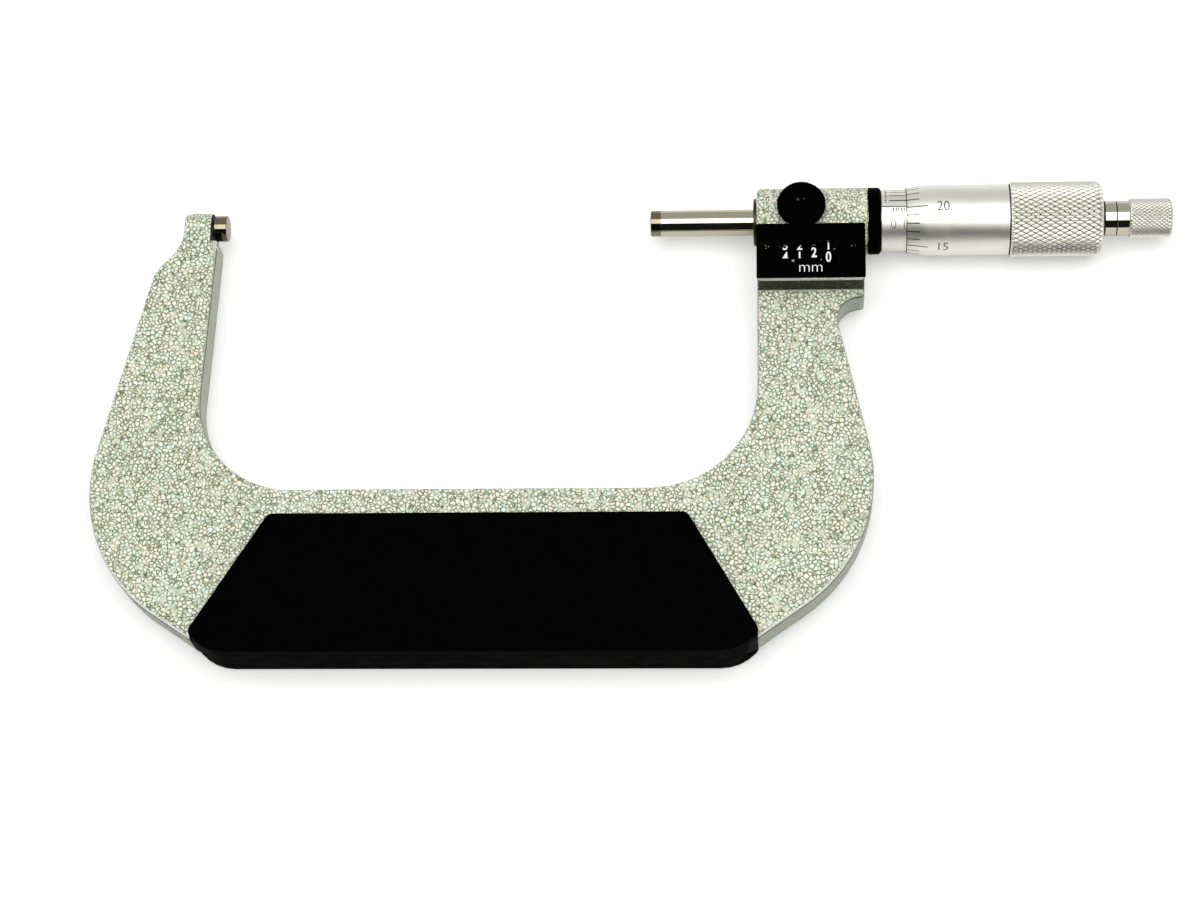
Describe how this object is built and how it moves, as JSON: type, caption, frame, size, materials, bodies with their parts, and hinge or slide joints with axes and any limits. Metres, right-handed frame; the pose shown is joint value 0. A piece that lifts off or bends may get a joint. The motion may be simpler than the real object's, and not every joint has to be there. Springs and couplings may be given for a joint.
{
  "type": "outside micrometer",
  "caption": "Outside micrometer: C-frame with anvil, sliding spindle, graduated sleeve and thimble, ratchet, lock knob and mechanical digit counter.",
  "frame": {"origin": "centre of the anvil's measuring face", "axes": "+X along the measuring line from the anvil to the spindle, +Y from the bow of the frame towards the measuring line, +Z out of the side with the counter's windows"},
  "size_m": [0.2595, 0.1196, 0.0215],
  "materials": {
    "hammertone_paint": "grey-green hammertone enamel",
    "black_plastic": "matte moulded heat-insulating shell",
    "black_metal": "satin black",
    "ground_steel": "ground and polished",
    "satin_chrome": "satin",
    "carbide": "lapped, dark",
    "brass": "machined",
    "digit_wheel_plastic": "matte"
  },
  "bodies": {
    "frame": {"frame": "hammertone_paint", "anvil": "ground_steel", "anvil_tip": "carbide", "front_grip": "black_plastic", "rear_grip": "black_plastic", "front_bush": "ground_steel", "inner_sleeve": "ground_steel", "sleeve_collar": "black_metal", "outer_sleeve": "satin_chrome", "adjusting_nut": "brass", "counter_cover": "black_metal", "cover_screw_left": "black_metal", "cover_screw_right": "black_metal", "counter_bracket": "ground_steel", "counter_shaft": "ground_steel", "pinion_shaft": "ground_steel", "idler_shaft": "ground_steel"},
    "drive": {"drive_gear": "brass", "drive_key": "ground_steel"},
    "spindle": {"spindle": "ground_steel", "spindle_tip": "carbide", "thimble": "satin_chrome", "ratchet_stem": "satin_chrome", "ratchet_screw": "ground_steel", "ratchet_spring": "ground_steel"},
    "ratchet": {"ratchet_knob": "satin_chrome"},
    "lock_shoe": {"lock_shoe": "brass"},
    "lock_knob": {"lock_knob": "black_metal", "lock_screw": "ground_steel"},
    "idler": {"idler_gear": "brass"},
    "thousandths": {"wheel_thousandths": "digit_wheel_plastic"},
    "hundredths": {"wheel_hundredths": "digit_wheel_plastic"},
    "tenths": {"wheel_tenths": "digit_wheel_plastic"},
    "inches": {"wheel_inches": "digit_wheel_plastic"},
    "pinion_right": {"carry_pinion_right": "brass"},
    "pinion_middle": {"carry_pinion_middle": "brass"},
    "pinion_left": {"carry_pinion_left": "brass"}
  },
  "joints": [
    {"name": "drive_turn", "type": "hinge", "parent": "frame", "child": "drive", "pos_m": [0.1505, 0, 0], "axis": [1, 0, 0], "range_deg": [-1728, 12672]},
    {"name": "spindle_travel", "type": "slide", "parent": "drive", "child": "spindle", "axis": [1, 0, 0], "range_m": [-0.00305, 0.02235]},
    {"name": "ratchet_turn", "type": "hinge", "parent": "spindle", "child": "ratchet", "pos_m": [0.2241, 0, 0], "axis": [1, 0, 0], "continuous": true, "deforming": ["ratchet_spring"]},
    {"name": "lock_feed", "type": "slide", "parent": "frame", "child": "lock_shoe", "axis": [0, 0, -1], "range_m": [0, 0.000125]},
    {"name": "lock_turn", "type": "hinge", "parent": "lock_shoe", "child": "lock_knob", "pos_m": [0.1414, 0, 0.0105], "axis": [0, 0, -1], "range_deg": [0, 90]},
    {"name": "idler_turn", "type": "hinge", "parent": "frame", "child": "idler", "pos_m": [0.1505, -0.00838, 0.0027], "axis": [1, 0, 0], "range_deg": [-22176, 3024]},
    {"name": "thousandths_turn", "type": "hinge", "parent": "frame", "child": "thousandths", "pos_m": [0.1478, -0.0127, 0.006], "axis": [1, 0, 0], "range_deg": [-4320, 31680]},
    {"name": "hundredths_turn", "type": "hinge", "parent": "frame", "child": "hundredths", "pos_m": [0.14435, -0.0127, 0.006], "axis": [1, 0, 0], "range_deg": [-432, 3168]},
    {"name": "tenths_turn", "type": "hinge", "parent": "frame", "child": "tenths", "pos_m": [0.1409, -0.0127, 0.006], "axis": [1, 0, 0], "range_deg": [-43.2, 316.8]},
    {"name": "inches_turn", "type": "hinge", "parent": "frame", "child": "inches", "pos_m": [0.13745, -0.0127, 0.006], "axis": [1, 0, 0], "range_deg": [-4.32, 31.68]},
    {"name": "pinion_right_turn", "type": "hinge", "parent": "frame", "child": "pinion_right", "pos_m": [0.14608, -0.01591, 0.00141], "axis": [1, 0, 0], "range_deg": [-7920, 1080]},
    {"name": "pinion_middle_turn", "type": "hinge", "parent": "frame", "child": "pinion_middle", "pos_m": [0.14263, -0.01591, 0.00141], "axis": [1, 0, 0], "range_deg": [-792, 108]},
    {"name": "pinion_left_turn", "type": "hinge", "parent": "frame", "child": "pinion_left", "pos_m": [0.13917, -0.01591, 0.00141], "axis": [1, 0, 0], "range_deg": [-79.2, 10.8]}
  ],
  "couplings": [
    {"joint": "drive_turn", "follows": "spindle_travel", "rad_per_m": 9894.8},
    {"joint": "idler_turn", "follows": "spindle_travel", "rad_per_m": -17316},
    {"joint": "thousandths_turn", "follows": "spindle_travel", "rad_per_m": 24737},
    {"joint": "hundredths_turn", "follows": "spindle_travel", "rad_per_m": 2473.7},
    {"joint": "tenths_turn", "follows": "spindle_travel", "rad_per_m": 247.37},
    {"joint": "inches_turn", "follows": "spindle_travel", "rad_per_m": 24.737},
    {"joint": "pinion_right_turn", "follows": "spindle_travel", "rad_per_m": -6184.2},
    {"joint": "pinion_middle_turn", "follows": "spindle_travel", "rad_per_m": -618.42},
    {"joint": "pinion_left_turn", "follows": "spindle_travel", "rad_per_m": -61.842},
    {"joint": "lock_turn", "follows": "lock_feed", "rad_per_m": 12566}
  ]
}
